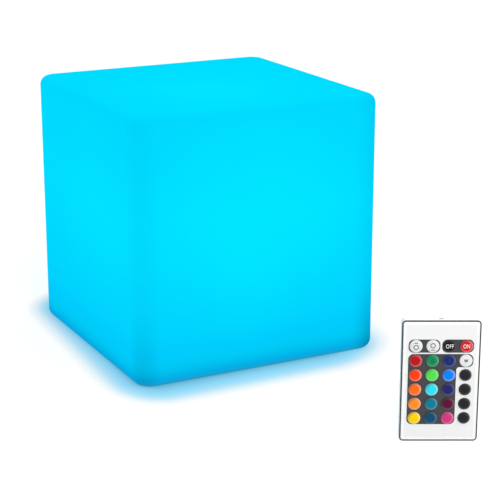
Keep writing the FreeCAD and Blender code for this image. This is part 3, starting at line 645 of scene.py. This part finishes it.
def standing(piece, body, *replaced):
    # from the remote's own frame to where it stands
    choose(piece)
    piece.matrix_world = remoteToFloor
    bpy.ops.object.transform_apply(location=True, rotation=True, scale=True)
    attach(piece, body)
    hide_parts(*replaced)


def block(name, place, size):
    bpy.ops.mesh.primitive_cube_add(size=1.0, location=place, scale=size)
    return added(name)


def plate(name, width, low, high, front, back, corner):
    # an upright plate with four round corners
    piece = block(name, (0, (front + back) / 2, (low + high) / 2), (width, back - front, high - low))
    roundedEdges(piece, lambda middle, way: abs(way.y) > 0.9, corner, 8)
    return piece


def keyPlaces():
    values = remoteValues
    for row in range(6):
        for column in range(4):
            x = (column - 1.5) * values["columns"]
            z = values["height"] - values["firstRow"] - row * values["rows"]
            radius = values["modeKey"] if row > 1 and column == 3 else values["colourKey"]
            yield row, column, x, z, radius


def cavity(piece, width, low, high, front, back, corner):
    # cuts a round-cornered pocket or window out of a plate
    combined(piece, plate("cavity", width, low, high, front, back, corner), "DIFFERENCE")


def remoteRim():
    # the dark frame between the two halves of the case: painted shade along the seam round the case's edge
    values = remoteValues
    height, rim, front, corner = values["height"], values["rim"], values["rimFront"], values["corner"]
    darkFrame = plate("remoteRim", values["width"], 0, height, front, values["rimBack"], corner)
    roundedEdges(darkFrame, lambda middle, way: middle.y < front + tiny, values["rimEdge"], 3)
    cavity(darkFrame, values["width"] - 2 * rim, rim, height - rim, -over, 2 * over, corner - rim)
    smoothed(darkFrame)
    painted(darkFrame, rimDark)
    standing(darkFrame, "remote", "remote_rim")


def remoteBack():
    values = remoteValues
    height, rim, depth, corner = values["height"], values["rim"], values["depth"], values["corner"]
    case = plate("remoteBack", values["width"], 0, height, values["rimBack"], depth, corner)
    roundedEdges(case, lambda middle, way: middle.y > depth - tiny, values["backEdge"], 4)
    cavity(case, values["width"] - 2 * rim, rim, height - rim, -over, depth - values["backWall"],
           corner - rim)
    back = depth - values["backWall"] + values["supportFoot"]
    supports = [block("support", ((left + right) / 2, (front + back) / 2, (low + high) / 2),
                      (right - left, back - front, high - low))
                for (left, right), front, (low, high) in values["supports"]]
    tool = supports.pop()
    for support in supports:
        combined(tool, support, "UNION")
    combined(case, tool, "UNION")
    combined(case, block("trayMouth", values["trayMouthPlace"], values["trayMouth"]), "DIFFERENCE")
    combined(case, post(values["lampHole"], height - values["lampHoleDeep"], height + over,
                        y=values["lampHolePlace"], steps=24), "DIFFERENCE")
    smoothed(case)
    painted(case, backWhite)
    standing(case, "remote", "remote_back_case")


def remoteFront():
    values = remoteValues
    inset = values["rim"] + values["gap"]
    width, low, high = values["width"] - 2 * inset, inset, values["height"] - inset
    border, wall, corner = values["border"], values["frontWall"], values["frontCorner"]
    case = plate("remoteFront", width, low, high, 0.0, values["frontDepth"], corner)
    roundedEdges(case, lambda middle, way: middle.y < tiny, values["frontEdge"], 4)
    # the shallow recess that the label lies in, and the hollow behind
    cavity(case, width - 2 * border, low + border, high - border, -over, values["labelRecess"], corner)
    cavity(case, width - 2 * wall, low + wall, high - wall, wall, values["frontDepth"] + over, wall)
    drills = []
    for row, column, x, z, radius in keyPlaces():
        bpy.ops.mesh.primitive_cylinder_add(vertices=40, radius=radius + values["keyGap"],
                                            depth=wall + 3 * over, location=(x, wall, z),
                                            rotation=(math.pi / 2, 0, 0))
        drills.append(added("drill"))
    combined(case, joined("drills", *drills), "DIFFERENCE")
    smoothed(case)
    painted(case, caseWhite)
    standing(case, "remote", "remote_front_case")


remoteRim()
remoteBack()
remoteFront()
print("remote case")

# the remote's keys: crowned caps, pad-printed

keyValues = {
    "colours": (("E8E9E9", "E8E9E9", "0B0C0D", "D81A20"),
                ("C80812", "10905C", "112C78", "EAEBEB"),
                ("FF4008", "52E052", "0484FF", "222428"),
                ("FF6E14", "30E0F0", "24256C", "222428"),
                ("FF902C", "0C7C96", "5C0C38", "222428"),
                ("FFD600", "084E70", "D8387F", "222428")),
    "nodes": (("brighter", "dimmer", "off", "on"), ("red", "green", "blue", "white"),
              ("vermilion", "light_green", "sky_blue", "flash"), ("orange", "cyan", "indigo", "strobe"),
              ("amber", "teal", "maroon", "fade"), ("yellow", "deep_teal", "pink", "smooth")),
    # the painted highlight, a pale crescent, and the painted shade on the shoulder: places and distances are
    # in radii of the key
    "paintedHighlight": (0.11, 0.27),    # how pale it is on a black key, and how much more on a bright one
    "paintedHighlightShift": 0.045,      # how far the middle of its ring lies up on the left
    "paintedHighlightEdge": (0.60, 1.20),    # where it starts and is full
    "paintedShadeShift": -0.30,
    "paintedShadeEdge": (0.90, 1.40),
    "paintedShadeTo": (0.45, 0.55),       # what is left of a deep colour there, and how much more of a pale one
    # the cap
    "back": 0.00165,             # behind the face
    "shoulder": 0.00045,         # below the crown
    "crown": ((0.00010, 0.00016), (0.00025, 0.00011), (0.0007, 0.00010), (0.0012, 0.00006),
              (0.0012, 0.00002)),    # steps inwards and out
    "capWall": 0.0014,
    # text, height of the type, how narrow it is set, ink
    "letters": {"off": ("OFF", 0.0040, 0.74, "inkWhite"), "on": ("ON", 0.0040, 0.72, "inkWhite"),
                "red": ("R", 0.0034, 0.90, "inkDeepRed"), "green": ("G", 0.0034, 0.88, "inkDeepGreen"),
                "blue": ("B", 0.0034, 0.90, "inkDeepBlue"), "white": ("W", 0.0027, 0.88, "inkGrey")},
    "spacing": 1.06,
    "letterInk": 0.00003,        # how far the ink stands out
    # colour of an ink, and how much wider strokes in it are set
    "inks": {"inkWhite": ("F6F6F6", 0.00002), "inkGrey": ("3C3E40", 0.00016),
             "inkDeepRed": ("2E0004", 0.0001), "inkDeepGreen": ("02301A", 0.0001),
             "inkDeepBlue": ("020A2C", 0.0001), "inkCharcoal": ("2E3033", 0)},
    # the signs for brighter and dimmer: a ring, and a bar above or below it
    "ringRadius": 0.00175,
    "signLine": 0.0005,
    "signInk": 0.00006,
    "ringOffset": 0.0006,
    "barOffset": 0.0024,
    "barWidth": 0.0024,
    "barCorner": 0.0002,
}


def keySilicone(name, colour, x, z, radius):
    # moulded silicone, satin: full colour on the crown, with a painted highlight, a paler ring towards the
    # edge, widest low on the right, for light that enters the translucent skin and comes out again, and
    # painted shade, a dimmer shoulder up on the left
    values = keyValues
    material, tree, place = newMaterial(name)

    def byDistance(shift, edge, inside, outside):
        # changes with the distance from a point near the key's middle
        middle = remoteToFloor @ Vector((x - shift * radius, -remoteValues["stand"], z + shift * radius))
        outwards = addNode(tree, "ShaderNodeVectorMath", {"operation": "DISTANCE", 1: middle}, {0: place})
        return addNode(tree, "ShaderNodeMapRange",
                       {"interpolation_type": "SMOOTHSTEP", "From Min": edge[0] * radius,
                        "From Max": edge[1] * radius, "To Min": inside, "To Max": outside},
                       {0: outwards.outputs["Value"]})

    channels = linear(colour)[:3]
    # painted highlight: a paler ring towards the edge, widest low on the right
    least, more = values["paintedHighlight"]
    paintedHighlight = byDistance(values["paintedHighlightShift"], values["paintedHighlightEdge"], 0.0, least + more * max(channels))
    # painted shade: the shoulder up on the left made dimmer
    deep, pale = values["paintedShadeTo"]
    paintedShade = byDistance(values["paintedShadeShift"], values["paintedShadeEdge"], 1.0, deep + pale * min(channels))
    toned = twoTones(tree, paintedHighlight.outputs[0], colour, "FFFFFF")
    clouds = addNode(tree, "ShaderNodeTexNoise", {"Scale": grains(2.5), "Detail": 1.0}, {"Vector": place})
    shade = addNode(tree, "ShaderNodeMapRange", {"To Min": 0.94, "To Max": 1.06}, {0: clouds.outputs["Fac"]})
    level = addNode(tree, "ShaderNodeMath", {"operation": "MULTIPLY"},
                    {0: shade.outputs[0], 1: paintedShade.outputs[0]})
    tint = addNode(tree, "ShaderNodeVectorMath", {"operation": "SCALE"},
                   {0: toned, "Scale": level.outputs[0]})
    grain = addNode(tree, "ShaderNodeTexNoise", {"Scale": grains(0.4), "Detail": 1.0}, {"Vector": place})
    bump = addNode(tree, "ShaderNodeBump", {"Strength": 0.2, "Distance": 0.01 * mm},
                   {"Height": grain.outputs["Fac"]})
    shader = addNode(tree, "ShaderNodeBsdfPrincipled",
                     {"Roughness": 0.45, "IOR": 1.41, "Specular IOR Level": 0.15},
                     {"Base Color": tint.outputs[0], "Normal": bump.outputs[0]})
    shadedBy(tree, shader)
    return material


def keyCap(radius):
    # a short cylinder facing -Y, then insets that draw its face up into a crown
    back, wall = keyValues["back"], keyValues["capWall"]
    shoulder = keyValues["shoulder"] - remoteValues["stand"]
    bpy.ops.mesh.primitive_cylinder_add(vertices=48, radius=radius, depth=back - shoulder,
                                        location=(0, (back + shoulder) / 2, 0),
                                        rotation=(math.pi / 2, 0, 0))
    cap = added("keyCap")
    edit(cap)
    pickFaces(lambda middle, normal: normal.y < -0.9)
    for step, rise in keyValues["crown"]:
        bpy.ops.mesh.inset(thickness=step)
        bpy.ops.transform.translate(value=(0, -rise, 0))
    # the hollow behind
    pickFaces(lambda middle, normal: normal.y > 0.9)
    bpy.ops.mesh.inset(thickness=wall)
    bpy.ops.mesh.extrude_region_move(TRANSFORM_OT_translate={"value": (0, -wall, 0)})
    leaveEdit()
    return cap


def inked(piece, material):
    piece.data.materials.clear()
    painted(piece, material)
    return piece


def letters(word, size, narrow, heavier, x, z, material):
    bpy.ops.object.select_all(action="DESELECT")
    bpy.ops.object.text_add(location=(x, -remoteValues["stand"], z), rotation=(math.pi / 2, 0, 0))
    text = bpy.context.object
    text.data.body = word
    text.data.size = size
    text.data.space_character = keyValues["spacing"]
    text.data.align_x, text.data.align_y = "CENTER", "CENTER"
    text.data.offset = heavier
    text.scale.x = narrow
    text.data.extrude = keyValues["letterInk"]
    bpy.ops.object.convert(target="MESH")
    return inked(added("letters"), material)


def lampSign(x, z, side, material):
    # a small lamp, and a bar above it for brighter or below it for dimmer
    values, y, line = keyValues, -remoteValues["stand"], keyValues["signLine"]
    bpy.ops.mesh.primitive_circle_add(vertices=24, radius=values["ringRadius"], fill_type="NGON",
                                      location=(x, y, z - side * values["ringOffset"]),
                                      rotation=(math.pi / 2, 0, 0))
    ring = added("ring")
    edit(ring)
    bpy.ops.mesh.select_all(action="SELECT")
    bpy.ops.mesh.inset(thickness=line)
    bpy.ops.mesh.delete(type="FACE")
    leaveEdit()
    applied(ring, "SOLIDIFY", thickness=values["signInk"], offset=0.0)
    bar = block("bar", (x, y, z + side * values["barOffset"]), (values["barWidth"], values["signInk"], line))
    roundedEdges(bar, lambda middle, way: abs(way.y) > 0.9, values["barCorner"], 3)
    return inked(joined("sign", bar, ring), material)


def remoteKeys():
    inks = {name: mouldedPlastic(name, colour, 0.4, 0.3, 0.004)
            for name, (colour, heavier) in keyValues["inks"].items()}
    caps = {radius: keyCap(radius) for radius in (remoteValues["colourKey"], remoteValues["modeKey"])}
    for row, column, x, z, radius in keyPlaces():
        word = keyValues["nodes"][row][column]
        key = bpy.data.objects.new("key", caps[radius].data.copy())
        bpy.context.scene.collection.objects.link(key)
        key.location = (x, 0, z)
        choose(key)
        bpy.ops.object.transform_apply(location=True, rotation=False, scale=False)
        painted(key, keySilicone("siliconeKey_" + word, keyValues["colours"][row][column], x, z, radius))
        smoothed(key, 50)
        if word in keyValues["letters"]:
            text, size, narrow, inkName = keyValues["letters"][word]
            heavier = keyValues["inks"][inkName][1]
            joined("marked", letters(text, size, narrow, heavier, x, z, inks[inkName]), key)
        if word in ("brighter", "dimmer"):
            side = 1 if word == "brighter" else -1
            joined("marked", lampSign(x, z, side, inks["inkCharcoal"]), key)
        key.name = key.data.name = "remoteKey_" + word
        standing(key, "key_" + word, "key_" + word)
    for cap in caps.values():
        bpy.data.objects.remove(cap)


remoteKeys()
print("remote keys")

bpy.context.scene.view_settings.view_transform = "Standard"
